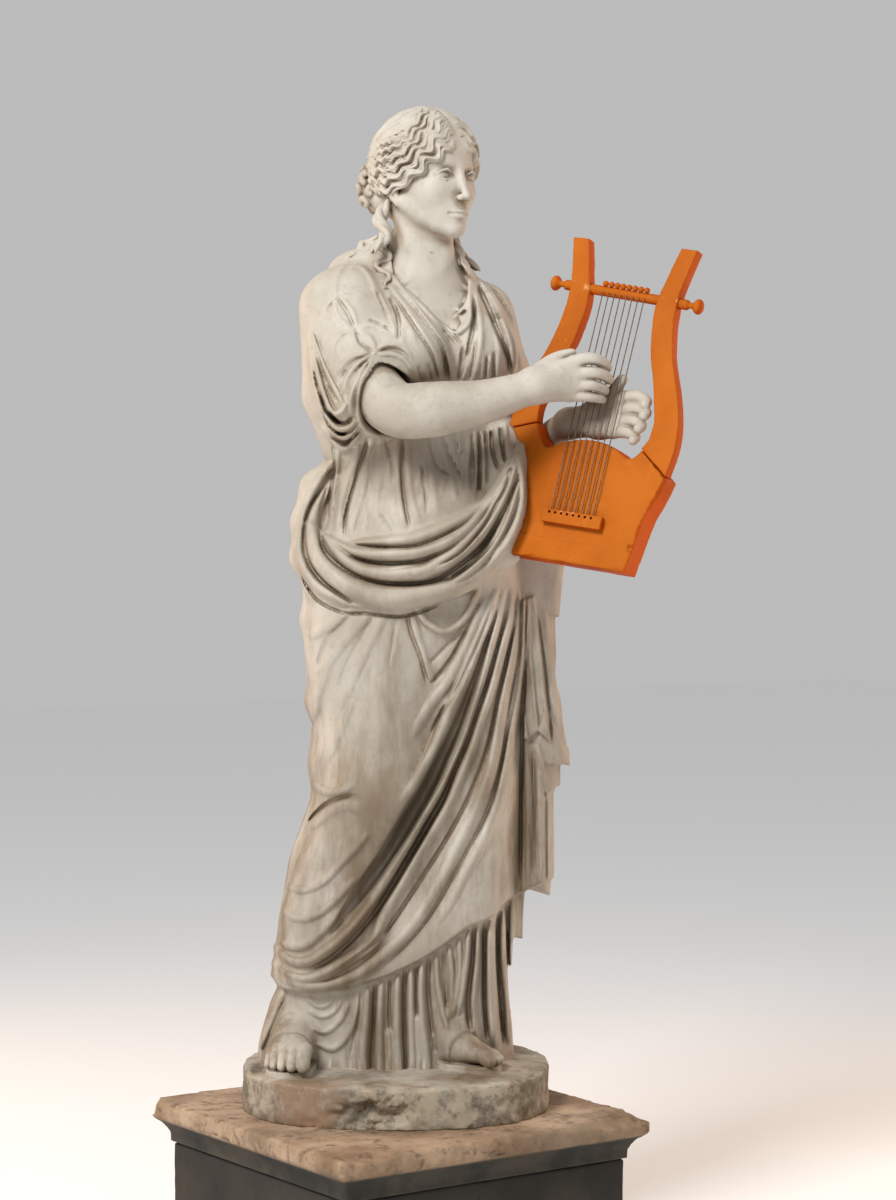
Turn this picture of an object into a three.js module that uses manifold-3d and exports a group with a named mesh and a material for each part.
// A life-size marble statue of a draped woman playing a lyre, on a low moulded pedestal.
// The figure stands on an oval base carved from the same block. She wears a fine pleated tunic with
// a buttoned sleeve, and over it a heavy mantle: a thick roll crosses her hips, long folds sweep from
// her left hip down to her right ankle, and its end falls in stepped folds at her left side.
// The lyre is a painted wooden board with two curved arms, a turned crossbar, pegs and strings.
// Units are millimetres, +Z up. The origin is the middle of the pedestal's underside, the pedestal's
// faces lie along X and Y, and the figure looks towards -Y.
import * as THREE from "three";
import { mergeVertices } from "three/addons/utils/BufferGeometryUtils.js";
import Module from "manifold-3d";

const wasm = await Module();
wasm.setup();

const GAP = 0.3; // clearance between pieces that touch

// Pedestal
const CAP_SIDE = 632;
const SLAB_THICKNESS = 31;
const OVERHANG = 33; // of the slab past the shaft
const MOULDING_HEIGHT = 44;
const PEDESTAL_HEIGHT = 300;
const FOOT_HEIGHT = 58;
const FOOT_PROJECTION = 20;

// The figure is drawn in a sketch frame: X to the viewer's right, Y away, Z up from the slab's top.
const SKETCH_TURN = 35.1; // degrees from the sketch frame to the pedestal's faces
const BASE = { x: 0, y: 45, halfWidth: 268, halfDepth: 245, squareness: 2.4, thickness: 72 };

// Pale figure and painted lyre
const MARBLE = { color: 0xcbc3b4, roughness: 0.62, metalness: 0 };
const CAP_STONE = { color: 0xb9a78f, roughness: 0.8, metalness: 0 };
const SHAFT_STONE = { color: 0x6b6558, roughness: 0.88, metalness: 0 };
const ORANGE_PAINT = { color: 0xd0702c, roughness: 0.45, metalness: 0 };
const STRING_GUT = { color: 0x5a4a3c, roughness: 0.5, metalness: 0 };

// Small vector helpers on [x, y, z]
const add = (a, b, k = 1) => [a[0] + k * b[0], a[1] + k * b[1], a[2] + k * b[2]];
const dot = (a, b) => a[0] * b[0] + a[1] * b[1] + a[2] * b[2];
const cross = (a, b) => [a[1] * b[2] - a[2] * b[1], a[2] * b[0] - a[0] * b[2], a[0] * b[1] - a[1] * b[0]];
const length = (a) => Math.hypot(...a);
const unit = (a) => a.map((v) => v / length(a));
const lerp = (a, b, t) => a + (b - a) * t;
const clamp = (v, lo, hi) => Math.min(hi, Math.max(lo, v));
const smooth = (v, lo, hi) => {
  const t = clamp((v - lo) / (hi - lo), 0, 1);
  return t * t * (3 - 2 * t);
};
const radians = THREE.MathUtils.degToRad;

// Distance fields of simple bodies, negative inside, and their rounded joins
const blend = (a, b, k) => {
  const h = clamp(0.5 + (0.5 * (b - a)) / k, 0, 1);
  return lerp(b, a, h) - k * h * (1 - h);
};
const limb = (p, a, b, ra, rb) => {
  const ab = add(b, a, -1);
  const t = clamp(dot(add(p, a, -1), ab) / dot(ab, ab), 0, 1);
  return length(add(p, add(a, ab, t), -1)) - lerp(ra, rb, t);
};
const chain = (p, joints, k) => {
  let d = Infinity;
  for (let i = 0; i + 1 < joints.length; i++) {
    const [a, ra] = joints[i];
    const [b, rb] = joints[i + 1];
    d = i ? blend(d, limb(p, a, b, ra, rb), k) : limb(p, a, b, ra, rb);
  }
  return d;
};
const egg = (p, c, radii, turn = 0) => {
  const q = add(p, c, -1);
  const [s, co] = [Math.sin(turn), Math.cos(turn)];
  const local = [q[0] * co + q[1] * s, -q[0] * s + q[1] * co, q[2]];
  const k0 = Math.hypot(...local.map((v, i) => v / radii[i]));
  const k1 = Math.hypot(...local.map((v, i) => v / radii[i] ** 2));
  return k0 < 1e-6 ? -Math.min(...radii) : (k0 * (k0 - 1)) / k1;
};

// Draped body: rows of height, left, right, front, back and turn in degrees of the oval section
const SECTIONS = [
  [60, -250, 214, -36, 232, 5],
  [140, -240, 203, -36, 230, 5],
  [212, -212, 199, -40, 226, 8],
  [318, -198, 205, -42, 226, 10],
  [424, -180, 215, -40, 226, 12],
  [530, -142, 222, -34, 226, 15],
  [636, -139, 226, -30, 228, 18],
  [742, -146, 226, -34, 230, 20],
  [848, -156, 222, -42, 235, 22],
  [950, -138, 208, -44, 235, 25],
  [1040, -106, 196, -34, 214, 28],
  [1100, -100, 186, -30, 200, 30],
  [1160, -98, 184, -32, 196, 32],
  [1240, -104, 190, -38, 200, 32],
  [1320, -112, 200, -42, 208, 32],
  [1390, -106, 192, -28, 205, 32],
  [1425, -74, 168, 0, 190, 32],
  [1458, -34, 132, 20, 165, 30],
  [1492, -10, 104, 35, 145, 20],
];

// The section at a height: its middle, half-lengths along its own axes and turn in radians
function sectionAt(z) {
  let i = 0;
  while (i < SECTIONS.length - 2 && SECTIONS[i + 1][0] < z) i++;
  const t = clamp((z - SECTIONS[i][0]) / (SECTIONS[i + 1][0] - SECTIONS[i][0]), 0, 1);
  const [, left, right, front, back, degrees] = SECTIONS[i].map((v, j) => lerp(v, SECTIONS[i + 1][j], t));
  const turn = radians(degrees);
  const [w, d] = [(right - left) / 2, (back - front) / 2];
  const difference = (w * w - d * d) / Math.cos(2 * turn);
  const a = Math.sqrt((w * w + d * d + difference) / 2);
  const b = Math.sqrt((w * w + d * d - difference) / 2);
  return { x: (left + right) / 2, y: (front + back) / 2, a, b, turn };
}

const SECTION_POWER = 2.25;
function columnField(p) {
  const s = sectionAt(p[2]);
  const [x, y] = [p[0] - s.x, p[1] - s.y];
  const [c, n] = [Math.cos(s.turn), Math.sin(s.turn)];
  const u = Math.abs(x * c + y * n) / s.a;
  const v = Math.abs(-x * n + y * c) / s.b;
  const r = Math.hypot(x, y);
  const scale = (u ** SECTION_POWER + v ** SECTION_POWER) ** (-1 / SECTION_POWER);
  return r < 1e-6 ? -Math.min(s.a, s.b) : r * (1 - scale);
}

// Forms under and over the cloth: legs, bust, belly, seat, shoulders, sleeves and hanging mantle
const CHEST_TURN = radians(32);
const THIGH = [[[-52, 55, 930], 98], [[-24, -14, 562], 70], [[-120, 8, 330], 60], [[-166, 30, 150], 48]];
const LEFT_LEG = [[[112, 110, 930], 92], [[118, 34, 560], 66], [[116, 44, 130], 52]];
const SLEEVE = [[[-84, 4, 1396], 60], [[-66, -44, 1290], 70], [[-48, -74, 1226], 56]];
const SLEEVE_FALL = [[[-118, 4, 1392], 36], [[-112, -4, 1240], 38], [[-96, 4, 1150], 24]];
const LEFT_SLEEVE = [[[152, 140, 1392], 50], [[182, 158, 1280], 48], [[206, 176, 1130], 56]];
const LEFT_FOREARM_CLOTH = [[[206, 176, 1120], 56], [[262, 120, 1120], 44]];
const FOREARM_FALL = [
  [[190, 66, 1168], 30],
  [[190, 30, 1112], 34],
  [[190, 20, 1040], 33],
  [[186, 14, 975], 28],
];
const MANTLE_EDGE = [
  [[-102, 70, 1120], 16],
  [[-136, 58, 1080], 23],
  [[-150, 46, 1020], 24],
  [[-152, 30, 960], 23],
  [[-128, 6, 906], 20],
];
const FALLS = [
  [[[246, 146, 1100], 44], [[224, 134, 900], 44], [[228, 130, 780], 44], [[246, 127, 640], 45]],
  [[[262, 132, 1120], 40], [[258, 132, 1000], 42], [[246, 132, 900], 34]],
  [[[220, 120, 660], 46], [[222, 118, 420], 44]],
  [[[196, 110, 440], 40], [[190, 104, 320], 38]],
];
function bodyField(p) {
  let d = columnField(p);
  d = blend(d, chain(p, THIGH, 30), 36);
  d = blend(d, chain(p, LEFT_LEG, 30), 36);
  d = blend(d, egg(p, [24, -34, 1318], [62, 54, 60], CHEST_TURN), 26);
  d = blend(d, egg(p, [140, 22, 1314], [62, 54, 60], CHEST_TURN), 26);
  d = blend(d, egg(p, [62, 10, 1000], [104, 78, 92], CHEST_TURN), 40);
  d = blend(d, egg(p, [-36, 150, 930], [98, 92, 110]), 40);
  d = blend(d, egg(p, [90, 178, 930], [92, 88, 110]), 40);
  d = blend(d, chain(p, SLEEVE, 20), 22);
  d = blend(d, chain(p, SLEEVE_FALL, 16), 14);
  d = blend(d, chain(p, LEFT_SLEEVE, 20), 24);
  d = blend(d, chain(p, LEFT_FOREARM_CLOTH, 20), 20);
  d = blend(d, chain(p, FOREARM_FALL, 16), 16);
  d = blend(d, chain(p, MANTLE_EDGE, 12), 12);
  for (const fall of FALLS) d = blend(d, chain(p, fall, 14), 12);
  return d;
}

// Folds: each set runs between two guide lines of [x, z] on the front of the body
const FOLDS = [
  {
    // rolls of the mantle across the hips
    from: [[-140, 1016], [-112, 990], [-66, 984], [0, 996], [80, 1022], [150, 1062], [206, 1130]],
    to: [[-160, 940], [-130, 900], [-70, 880], [14, 874], [92, 898], [150, 936], [222, 1040]],
    count: 4,
    width: 17,
    height: 24,
  },
  {
    // long folds from the left hip to the right ankle
    from: [[150, 850], [112, 742], [70, 640], [10, 520], [-60, 396], [-140, 300], [-206, 300]],
    to: [[222, 760], [212, 640], [186, 530], [130, 400], [50, 300], [-70, 226], [-206, 226]],
    count: 4,
    width: 24,
    height: 17,
  },
  {
    // short folds over the right thigh, from under the roll
    from: [[-40, 880], [-88, 820], [-128, 760]],
    to: [[-20, 880], [-52, 760], [-96, 640]],
    count: 2,
    width: 20,
    height: 9,
  },
];

function along(line, t) {
  const s = clamp(t, 0, 1) * (line.length - 1);
  const i = Math.min(line.length - 2, Math.floor(s));
  return line[i].map((v, j) => lerp(v, line[i + 1][j], s - i));
}

const LINE_PARTS = 14;
function foldLines() {
  const lines = [];
  for (const set of FOLDS)
    for (let i = 0; i < set.count; i++) {
      const share = set.count > 1 ? i / (set.count - 1) : 0;
      const points = [];
      for (let j = 0; j <= LINE_PARTS; j++) {
        const [a, b] = [along(set.from, j / LINE_PARTS), along(set.to, j / LINE_PARTS)];
        points.push([lerp(a[0], b[0], share), lerp(a[1], b[1], share)]);
      }
      lines.push({ points, width: set.width, height: set.height });
    }
  return lines;
}
const LINES = foldLines();

function frontRelief(x, z) {
  let relief = 0;
  for (const { points, width, height } of LINES) {
    let nearest = Infinity;
    for (let i = 0; i + 1 < points.length; i++) {
      const [a, b] = [points[i], points[i + 1]];
      const [dx, dz] = [b[0] - a[0], b[1] - a[1]];
      const t = clamp(((x - a[0]) * dx + (z - a[1]) * dz) / (dx * dx + dz * dz), 0, 1);
      nearest = Math.min(nearest, Math.hypot(x - a[0] - t * dx, z - a[1] - t * dz));
    }
    relief = Math.max(relief, height * Math.exp(-((nearest / width) ** 2) * 1.6));
  }
  return relief;
}

// The mantle's hem, as a height that rises from the right ankle to the left side and round the back
const hemHeight = (x, back) => (back ? 250 : 212 + 150 * smooth(x, -90, 230));
const TUNIC_PLEATS = 22;
const PLEAT_DEPTH = 8;
const TUNIC_INSET = 12; // of the tunic behind the mantle's hem
const BACK_PLEATS = 14;
const BACK_DEPTH = 7;
const BACK_SWING = 160; // height over which the back folds lean by one radian

// How far a point of the draped surface stands out from the plain body
function relief(angle, turn, p) {
  const front = smooth(Math.cos(angle), -0.35, 0.25);
  const hem = hemHeight(p[0], front < 0.5);
  const below = 1 - smooth(p[2], hem - 26, hem);
  const pleats = PLEAT_DEPTH * below * Math.cos(TUNIC_PLEATS * turn);
  const inset = -TUNIC_INSET * below;
  const skirt = smooth(p[2], 230, 420) * (1 - smooth(p[2], 860, 1000));
  const backFolds = BACK_DEPTH * (1 - front) * skirt * Math.cos(BACK_PLEATS * turn + p[2] / BACK_SWING);
  return front * (1 - below) * frontRelief(p[0], p[2]) + pleats + inset + backFolds;
}

// A closed body from rings of points, the same number in each, with the ends capped
function loft(rings) {
  const sides = rings[0].length;
  const position = rings.flat(2);
  const index = [];
  for (let i = 0; i + 1 < rings.length; i++)
    for (let j = 0; j < sides; j++) {
      const [a, b] = [i * sides + j, i * sides + ((j + 1) % sides)];
      index.push(a, b, b + sides, a, b + sides, a + sides);
    }
  for (const [ring, flip] of [[0, true], [rings.length - 1, false]]) {
    const middle = position.length / 3;
    for (let k = 0; k < 3; k++) position.push(rings[ring].reduce((sum, q) => sum + q[k], 0) / sides);
    for (let j = 0; j < sides; j++) {
      const [a, b] = [ring * sides + j, ring * sides + ((j + 1) % sides)];
      index.push(...(flip ? [b, a, middle] : [a, b, middle]));
    }
  }
  const geometry = new THREE.BufferGeometry();
  geometry.setAttribute("position", new THREE.Float32BufferAttribute(position, 3));
  geometry.setIndex(index);
  return geometry;
}

// Heights of the rings of the draped body, closer together where the form is busier
const HEIGHT_STEPS = [[60, 40], [300, 54], [840, 18], [1056, 34], [1158, 50], [1408, 21], [1492, 21]];
const BODY_HEIGHTS = [];
for (let i = 0; i + 1 < HEIGHT_STEPS.length; i++) {
  const [[bottom, step], [top]] = [HEIGHT_STEPS[i], HEIGHT_STEPS[i + 1]];
  for (let z = bottom; z < top - 1; z += step) BODY_HEIGHTS.push(z);
}
BODY_HEIGHTS.push(HEIGHT_STEPS.at(-1)[0]);
const BODY_SPOKES = 62;
const FRONT_CROWDING = 0.4; // how much closer the spokes stand at the front than at the back
const REACH = 420;
const STEP = 5;
const HALVINGS = 12;

function surfaceRadius(x, y, z, direction) {
  let r = REACH;
  while (r > STEP && bodyField([x + direction[0] * r, y + direction[1] * r, z]) > 0) r -= STEP;
  let [inside, outside] = [r, r + STEP];
  for (let i = 0; i < HALVINGS; i++) {
    const middle = (inside + outside) / 2;
    if (bodyField([x + direction[0] * middle, y + direction[1] * middle, z]) > 0) outside = middle;
    else inside = middle;
  }
  return inside;
}

function drapedBody() {
  return loft(
    BODY_HEIGHTS.map((z) => {
      const { x, y } = sectionAt(z);
      const ring = [];
      for (let j = 0; j < BODY_SPOKES; j++) {
        const turn = (2 * Math.PI * j) / BODY_SPOKES;
        const angle = turn - FRONT_CROWDING * Math.sin(turn); // zero towards the viewer
        const direction = [Math.sin(angle), -Math.cos(angle)];
        const r = surfaceRadius(x, y, z, direction);
        const q = [x + direction[0] * r, y + direction[1] * r, z];
        const out = r + relief(angle, turn, q);
        ring.push([x + direction[0] * out, y + direction[1] * out, z]);
      }
      return ring;
    }),
  );
}

// A rounded limb through joints of [point, radius], drawn out into rings of the given sides
function limbBody(joints, sides, flatten = 1, flatAxis = [0, 0, 1]) {
  const rings = [];
  joints.forEach(([centre, radius], i) => {
    const before = joints[Math.max(0, i - 1)][0];
    const after = joints[Math.min(joints.length - 1, i + 1)][0];
    const direction = unit(add(after, before, -1));
    const u = unit(cross(direction, Math.abs(dot(direction, flatAxis)) > 0.95 ? [1, 0, 0] : flatAxis));
    const v = cross(direction, u);
    const ring = (point, r) =>
      Array.from({ length: sides }, (_, j) => {
        const angle = (2 * Math.PI * j) / sides;
        return add(add(point, u, r * Math.cos(angle)), v, r * flatten * Math.sin(angle));
      });
    if (i === 0) rings.push(ring(add(centre, direction, -0.8 * radius), 0.55 * radius));
    rings.push(ring(centre, radius));
    if (i === joints.length - 1) rings.push(ring(add(centre, direction, 0.8 * radius), 0.55 * radius));
  });
  return loft(rings);
}

// An ellipsoid turned about the vertical
function eggBody(centre, radii, turn, width = 20, height = 12) {
  const geometry = new THREE.SphereGeometry(1, width, height);
  geometry.rotateX(Math.PI / 2);
  geometry.scale(...radii);
  geometry.rotateZ(turn);
  geometry.translate(...centre);
  return geometry;
}

function solid(geometry) {
  const plain = geometry.clone();
  plain.deleteAttribute("normal");
  plain.deleteAttribute("uv");
  const merged = mergeVertices(plain, 1e-3);
  const made = new wasm.Manifold(
    new wasm.Mesh({
      numProp: 3,
      vertProperties: new Float32Array(merged.attributes.position.array),
      triVerts: new Uint32Array(merged.index.array),
    }),
  );
  if (made.volume() < 0) throw new Error("a piece is inside out");
  return made;
}

function geometryOf(manifold) {
  const mesh = manifold.getMesh();
  const geometry = new THREE.BufferGeometry();
  geometry.setAttribute("position", new THREE.BufferAttribute(mesh.vertProperties, 3));
  geometry.setIndex(new THREE.BufferAttribute(mesh.triVerts, 1));
  geometry.computeVertexNormals();
  return geometry;
}

// Head: a skull turned to her left, with rolled-back hair, a knot at the nape and loose locks
const HEAD = { centre: [54, 62, 1626], turn: radians(44) };
const faceward = (side, forward, up) => [
  HEAD.centre[0] + side * Math.cos(HEAD.turn) + forward * Math.sin(HEAD.turn),
  HEAD.centre[1] + side * Math.sin(HEAD.turn) - forward * Math.cos(HEAD.turn),
  HEAD.centre[2] + up,
];
const HAIR_ROLL = [
  [-74, 2, -38],
  [-80, 28, 0],
  [-58, 66, 44],
  [0, 84, 62],
  [58, 66, 44],
  [80, 28, 0],
  [74, 2, -38],
];
const NECK = [[[54, 92, 1430], 66], [[50, 80, 1500], 56], [[50, 74, 1560], 52]];
const LOOSE_LOCK = [
  [[-6, 66, 1556], 14],
  [[-14, 40, 1510], 15],
  [[-24, 14, 1478], 13],
  [[-18, 2, 1446], 9],
];
function headParts() {
  const headEgg = (offset, radii, w, h) => eggBody(faceward(...offset), radii, HEAD.turn, w, h);
  return [
    headEgg([0, -12, 24], [84, 104, 100], 18, 12), // hair over the skull
    headEgg([0, 22, -14], [64, 72, 88], 18, 12), // face
    headEgg([0, 46, -66], [42, 40, 36], 12, 8), // chin and jaw
    limbBody([[faceward(0, 88, 2), 8], [faceward(0, 104, -28), 11]], 6), // nose
    limbBody(HAIR_ROLL.map((offset) => [faceward(...offset), 24]), 8), // rolled hair round the face
    headEgg([0, -96, -12], [56, 44, 50], 14, 8), // knot of hair
    limbBody(NECK, 14),
    limbBody(LOOSE_LOCK, 6),
  ];
}

// Arms: joints of [point, radius]
const RIGHT_ARM = [
  [[-58, -62, 1262], 50],
  [[-14, -100, 1214], 45],
  [[58, -104, 1208], 43],
  [[140, -94, 1222], 35],
  [[236, -80, 1252], 27],
];
const RIGHT_PALM = [[[240, -78, 1254], 27], [[270, -70, 1264], 40], [[308, -64, 1266], 41]];
const RIGHT_FINGERS = [
  [[[304, -62, 1295], 11], [[344, -62, 1299], 10], [[364, -48, 1287], 8]],
  [[[308, -62, 1274], 11], [[347, -63, 1275], 10], [[367, -48, 1266], 8]],
  [[[306, -61, 1254], 10], [[342, -62, 1254], 9], [[360, -48, 1247], 7]],
  [[[300, -61, 1236], 10], [[336, -60, 1235], 8.5], [[356, -48, 1231], 7]],
  [[[262, -66, 1292], 12], [[286, -54, 1305], 11], [[303, -48, 1310], 9]],
];
const LEFT_FOREARM = [[[236, 150, 1130], 42], [[262, 96, 1160], 29], [[288, 60, 1186], 23]];
const LEFT_PALM = [[[296, 50, 1188], 26], [[334, 16, 1196], 36], [[374, -14, 1203], 38]];
const LEFT_FINGERS = [
  [[[384, -22, 1232], 12], [[416, -42, 1236], 11], [[430, -60, 1224], 9.5]],
  [[[386, -26, 1212], 12], [[416, -48, 1215], 11], [[428, -65, 1205], 9.5]],
  [[[384, -30, 1191], 11.5], [[412, -52, 1193], 10.5], [[420, -67, 1183], 9.5]],
  [[[376, -30, 1176], 11], [[402, -53, 1173], 10], [[410, -66, 1163], 9]],
  [[[348, -2, 1214], 15], [[378, -18, 1246], 12], [[392, -24, 1266], 9.5]],
];
const RIGHT_FOOT = [
  [[-172, 30, 120], 52],
  [[-180, -16, 112], 44],
  [[-184, -60, 104], 38],
  [[-184, -92, 90], 28],
];
const LEFT_FOOT = [
  [[84, 20, 120], 42],
  [[112, -6, 108], 38],
  [[144, -32, 98], 30],
  [[162, -46, 88], 21],
];

function ovalShape(halfWidth, halfDepth, power, points = 44) {
  const shape = new THREE.Shape();
  for (let i = 0; i < points; i++) {
    const angle = (2 * Math.PI * i) / points;
    const [c, s] = [Math.cos(angle), Math.sin(angle)];
    const x = halfWidth * Math.sign(c) * Math.abs(c) ** (2 / power);
    const y = halfDepth * Math.sign(s) * Math.abs(s) ** (2 / power);
    if (i) shape.lineTo(x, y);
    else shape.moveTo(x, y);
  }
  return shape;
}

function ovalBase() {
  const geometry = new THREE.ExtrudeGeometry(ovalShape(BASE.halfWidth, BASE.halfDepth, BASE.squareness), {
    depth: BASE.thickness - GAP,
    bevelEnabled: false,
  });
  geometry.translate(BASE.x, BASE.y, GAP);
  return geometry;
}

// Lyre: its own frame has X across, Y away from the player's audience and Z up its strings
const LYRE = { origin: [400, 5, 1411], swing: 28, tilt: 8.4, lean: 12 };
const ARM_THICKNESS = 26;
const BOX_THICKNESS = 56;
const BOX_FRONT = -13;
// Outlines as rows of height and half-width, and the soundbox's top edge from the right arm to the middle
const OUTER = [
  [94, 120], [52, 111], [10, 104], [-30, 104.5], [-70, 110.5], [-110, 121.5], [-160, 141], [-210, 155],
  [-250, 159], [-300, 153], [-336, 144], [-374, 131], [-412, 124], [-450, 119], [-476, 115],
];
const INNER = [
  [94, 88.5], [40, 74.5], [0, 65.5], [-36, 65], [-72, 70], [-107, 78], [-141, 90], [-176, 100],
  [-215, 109.5], [-245, 107],
];
const NOTCH = [[96, -266], [84, -279], [70, -279], [54, -270], [28, -261], [0, -258]];
const SEAMS = { right: { inner: -262, outer: -304 }, left: { inner: -240, outer: -258 } };
const BAR = {
  height: 4.5,
  radius: 9,
  neck: 5,
  knobRadius: 13.5,
  half: 146,
  fieldHalf: 112,
  slope: 2.6, // degrees, down to the viewer's right
  sides: 16,
};
const PEG = { stem: 3.2, widest: 5.3, height: 9.7, tilt: 30 }; // tilted towards the viewer from upright
const STRINGS = { count: 8, half: 40, radius: 1.1, top: 0.5, bottom: -390 };
const TAIL = { left: -53, right: 60, top: -391, bottom: -414, thickness: 13 };

function widthAt(table, z) {
  let i = 0;
  while (i < table.length - 2 && table[i + 1][0] > z) i++;
  const t = clamp((z - table[i][0]) / (table[i + 1][0] - table[i][0]), 0, 1);
  return lerp(table[i][1], table[i + 1][1], t);
}

function plate(points, front, thickness) {
  const shape = new THREE.Shape(points.map(([x, z]) => new THREE.Vector2(x, z)));
  const geometry = new THREE.ExtrudeGeometry(shape, { depth: thickness, bevelEnabled: false });
  geometry.rotateX(Math.PI / 2);
  geometry.translate(0, front + thickness, 0);
  return geometry;
}

// Height of the crossbar's middle, which slopes down to the right
const barHeight = (x) => BAR.height - x * Math.tan(radians(BAR.slope));

const RIGHT_SEAM_CORNER = 97; // where the right arm's seam meets the notch
const CUTTER_LENGTH = 400;

function lyreArm(side, seam) {
  const outer = OUTER.filter(([z]) => z > seam.outer).map(([z, x]) => [side * x, z]);
  const inner = INNER.filter(([z]) => z > seam.inner).map(([z, x]) => [side * x, z]);
  const corner = side > 0 ? RIGHT_SEAM_CORNER : widthAt(INNER, seam.inner);
  outer.push([side * widthAt(OUTER, seam.outer), seam.outer]);
  inner.push([side * corner, seam.inner]);
  const bar = new THREE.CylinderGeometry(BAR.radius + GAP, BAR.radius + GAP, CUTTER_LENGTH, BAR.sides);
  bar.rotateZ(Math.PI / 2);
  bar.rotateY(radians(BAR.slope));
  bar.translate(0, 0, BAR.height);
  const arm = solid(plate([...outer, ...inner.reverse()], BOX_FRONT, ARM_THICKNESS));
  return geometryOf(arm.subtract(solid(bar)));
}

function lyreBox() {
  const edge = (side, seam) => [
    [side * widthAt(OUTER, seam.outer), seam.outer - GAP],
    ...OUTER.filter(([z]) => z < seam.outer - 6).map(([z, x]) => [side * x, z]),
  ];
  const right = edge(1, SEAMS.right);
  const left = edge(-1, SEAMS.left).reverse();
  const notchLeft = NOTCH.map(([x, z]) => [-x, z]);
  const corner = [-widthAt(INNER, SEAMS.left.inner), SEAMS.left.inner - GAP];
  const notchRight = [...NOTCH].reverse().slice(1);
  return plate([...right, ...left, corner, ...notchLeft, ...notchRight], BOX_FRONT, BOX_THICKNESS);
}

function turned(profile, sides) {
  const points = profile.map(([r, h]) => new THREE.Vector2(r, h));
  return new THREE.LatheGeometry(points, sides);
}

function crossbar() {
  const knob = [
    [0, BAR.half],
    [8, BAR.half],
    [BAR.knobRadius, BAR.half - 4],
    [BAR.knobRadius - 1, BAR.half - 11],
    [BAR.neck, BAR.half - 17],
    [BAR.neck, BAR.half - 24],
    [BAR.radius, BAR.fieldHalf + 6],
  ];
  const profile = [...knob.map(([r, h]) => [r, -h]), ...knob.reverse()];
  const geometry = turned(profile, BAR.sides);
  geometry.rotateZ(-Math.PI / 2);
  geometry.rotateY(radians(BAR.slope));
  geometry.translate(0, 0, BAR.height);
  return geometry;
}

const stringX = (i) => lerp(-STRINGS.half, STRINGS.half, i / (STRINGS.count - 1));

function peg() {
  const base = BAR.radius + GAP;
  const profile = [
    [0, 0],
    [PEG.stem, 0],
    [0.9 * PEG.widest, 0.2 * PEG.height],
    [PEG.widest, 0.45 * PEG.height],
    [0.9 * PEG.widest, 0.72 * PEG.height],
    [0.6 * PEG.widest, 0.92 * PEG.height],
    [0, PEG.height],
  ];
  const geometry = turned(profile.map(([r, h]) => [r, base + h]), 8);
  geometry.rotateX(Math.PI / 2 + radians(PEG.tilt));
  return geometry;
}

function stringBody(x) {
  const barFace = -(BAR.radius + GAP + STRINGS.radius);
  const tailFace = BOX_FRONT - TAIL.thickness / 2;
  const top = STRINGS.top + barHeight(x) - BAR.height;
  const path = new THREE.LineCurve3(
    new THREE.Vector3(x, barFace, top),
    new THREE.Vector3(x, tailFace, STRINGS.bottom),
  );
  const circle = new THREE.Shape();
  circle.absarc(0, 0, STRINGS.radius, 0, 2 * Math.PI);
  return new THREE.ExtrudeGeometry(circle, {
    steps: 1,
    curveSegments: 4,
    extrudePath: path,
    bevelEnabled: false,
  });
}

function tailpiece() {
  const { left, right, top, bottom } = TAIL;
  const points = [[left, bottom], [right, bottom], [right, top], [left, top]];
  return plate(points, BOX_FRONT - TAIL.thickness - GAP, TAIL.thickness);
}

// Pedestal: a slab with a hollow moulding under it, and a short shaft on a plain foot
function steppedBlock(levels) {
  return loft(
    levels.map(([half, z]) => [[-half, -half, z], [half, -half, z], [half, half, z], [-half, half, z]]),
  );
}
const LIP = 5; // of the moulding's lowest band past the shaft
const LIP_HEIGHT = 10;
const HOLLOW_SETBACK = 7; // of the moulding's top behind the slab's edge
const FOOT_SLOPE = 14;
function pedestalCap() {
  const half = CAP_SIDE / 2;
  const shaft = half - OVERHANG;
  const hollow = [0, 0.25, 0.5, 0.75, 1].map((t) => [
    shaft + LIP + (OVERHANG - LIP - HOLLOW_SETBACK) * (1 - Math.sin((t * Math.PI) / 2)),
    -SLAB_THICKNESS - t * (MOULDING_HEIGHT - LIP_HEIGHT),
  ]);
  const underside = -SLAB_THICKNESS - MOULDING_HEIGHT + GAP;
  return steppedBlock([[shaft + LIP, underside], ...hollow.reverse(), [half, -SLAB_THICKNESS], [half, 0]]);
}
function pedestalShaft() {
  const shaft = CAP_SIDE / 2 - OVERHANG;
  const foot = shaft + FOOT_PROJECTION;
  const top = -SLAB_THICKNESS - MOULDING_HEIGHT;
  return steppedBlock([
    [foot, -PEDESTAL_HEIGHT],
    [foot, FOOT_HEIGHT - FOOT_SLOPE - PEDESTAL_HEIGHT],
    [shaft, FOOT_HEIGHT - PEDESTAL_HEIGHT],
    [shaft, top],
  ]);
}

function piece(name, geometry, material) {
  const mesh = new THREE.Mesh(geometry, new THREE.MeshStandardMaterial(material));
  mesh.name = name;
  return mesh;
}

function lyreFrame() {
  const [swing, tilt, lean] = [LYRE.swing, LYRE.tilt, LYRE.lean].map(radians);
  const across = [Math.cos(swing), -Math.sin(swing), 0];
  const away = [Math.sin(swing), Math.cos(swing), 0];
  const x = add(across.map((v) => v * Math.cos(tilt)), [0, 0, -Math.sin(tilt)]);
  const upright = add(across.map((v) => v * Math.sin(tilt)), [0, 0, Math.cos(tilt)]);
  const z = add(upright.map((v) => v * Math.cos(lean)), away, Math.sin(lean));
  const y = cross(z, x);
  return new THREE.Matrix4()
    .makeBasis(new THREE.Vector3(...x), new THREE.Vector3(...y), new THREE.Vector3(...z))
    .setPosition(...LYRE.origin);
}

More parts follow.
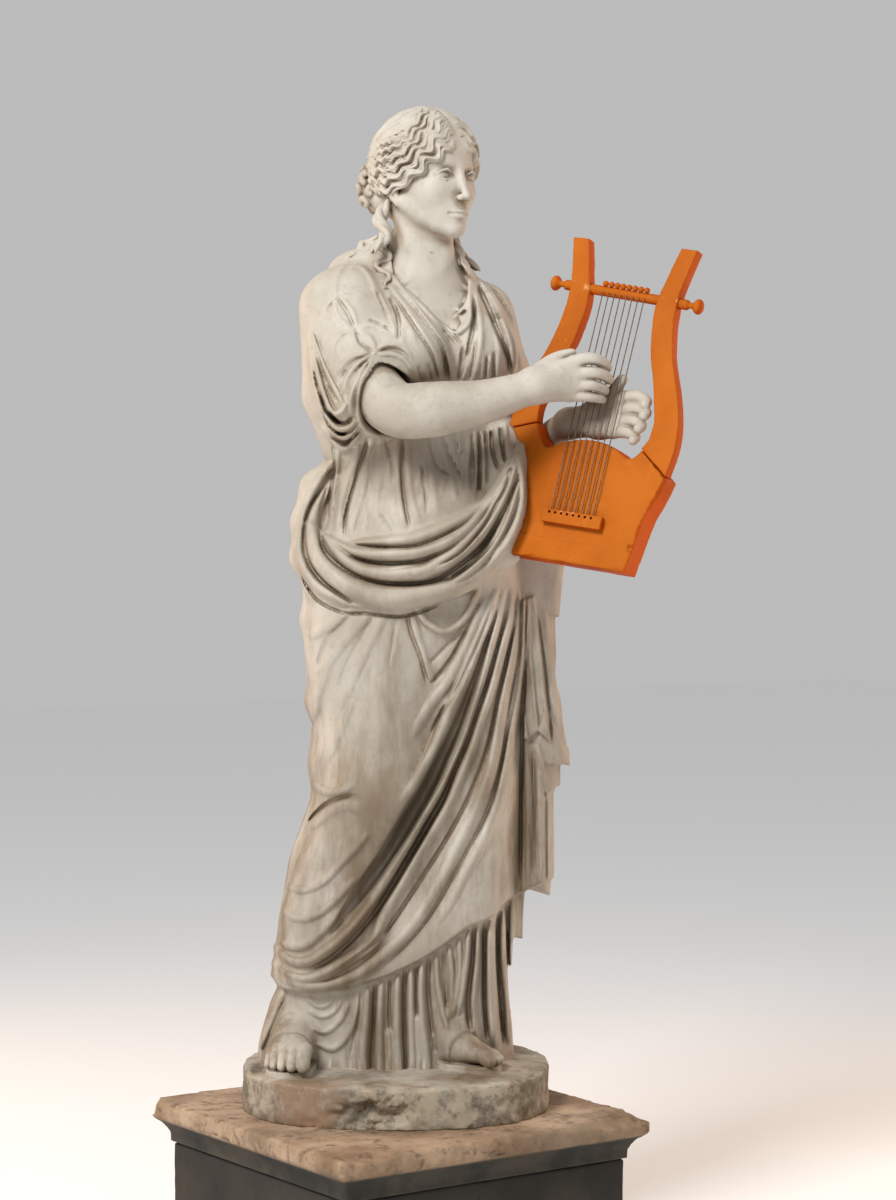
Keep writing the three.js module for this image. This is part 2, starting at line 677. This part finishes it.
function buildFigure(keepClear) {
  const parts = [
    ovalBase(),
    drapedBody(),
    ...headParts(),
    limbBody(RIGHT_ARM, 12),
    limbBody(RIGHT_PALM, 10, 0.42, [0, 1, 0.2]),
    ...RIGHT_FINGERS.map((finger) => limbBody(finger, 6)),
    limbBody(LEFT_FOREARM, 12),
    limbBody(LEFT_PALM, 10, 0.42, [0, 1, 0]),
    ...LEFT_FINGERS.map((finger) => limbBody(finger, 6)),
    limbBody(RIGHT_FOOT, 10, 0.6),
    limbBody(LEFT_FOOT, 10, 0.6),
  ];
  let figure = solid(parts[0]);
  for (const part of parts.slice(1)) figure = figure.add(solid(part));
  for (const other of keepClear) figure = figure.subtract(other);
  return geometryOf(figure);
}

const LYRE_PIECES = [
  ["lyre_soundbox", lyreBox()],
  ["lyre_right_arm", lyreArm(1, SEAMS.right)],
  ["lyre_left_arm", lyreArm(-1, SEAMS.left)],
  ["lyre_crossbar", crossbar()],
  ["lyre_tailpiece", tailpiece()],
];

// The lyre's pieces, each shifted by the gap six ways, so that the carved cloth and fingers clear them
function lyreClearance() {
  const frame = lyreFrame();
  const shifts = [[1, 0, 0], [0, 1, 0], [0, 0, 1]].flatMap((v) => [v, v.map((k) => -k)]);
  const moved = (geometry, shift) => solid(geometry).translate(shift.map((v) => 2 * GAP * v));
  return LYRE_PIECES.flatMap(([, geometry]) =>
    shifts.map((shift) => moved(geometry, shift).transform(frame.elements)),
  );
}

const root = new THREE.Group();
root.position.z = PEDESTAL_HEIGHT;
root.add(piece("pedestal_cap", pedestalCap(), CAP_STONE));
root.add(piece("pedestal_shaft", pedestalShaft(), SHAFT_STONE));

const sketch = new THREE.Group();
sketch.rotation.z = radians(-SKETCH_TURN);
root.add(sketch);
sketch.add(piece("figure", buildFigure(lyreClearance()), MARBLE));

const lyre = new THREE.Group();
lyre.applyMatrix4(lyreFrame());
sketch.add(lyre);
for (const [name, geometry] of LYRE_PIECES) lyre.add(piece(name, geometry, ORANGE_PAINT));
for (let i = 0; i < STRINGS.count; i++) {
  const pin = piece(`lyre_peg_${i + 1}`, peg(), ORANGE_PAINT);
  pin.position.set(stringX(i), 0, barHeight(stringX(i)));
  lyre.add(pin);
  lyre.add(piece(`lyre_string_${i + 1}`, stringBody(stringX(i)), STRING_GUT));
}

export default root;
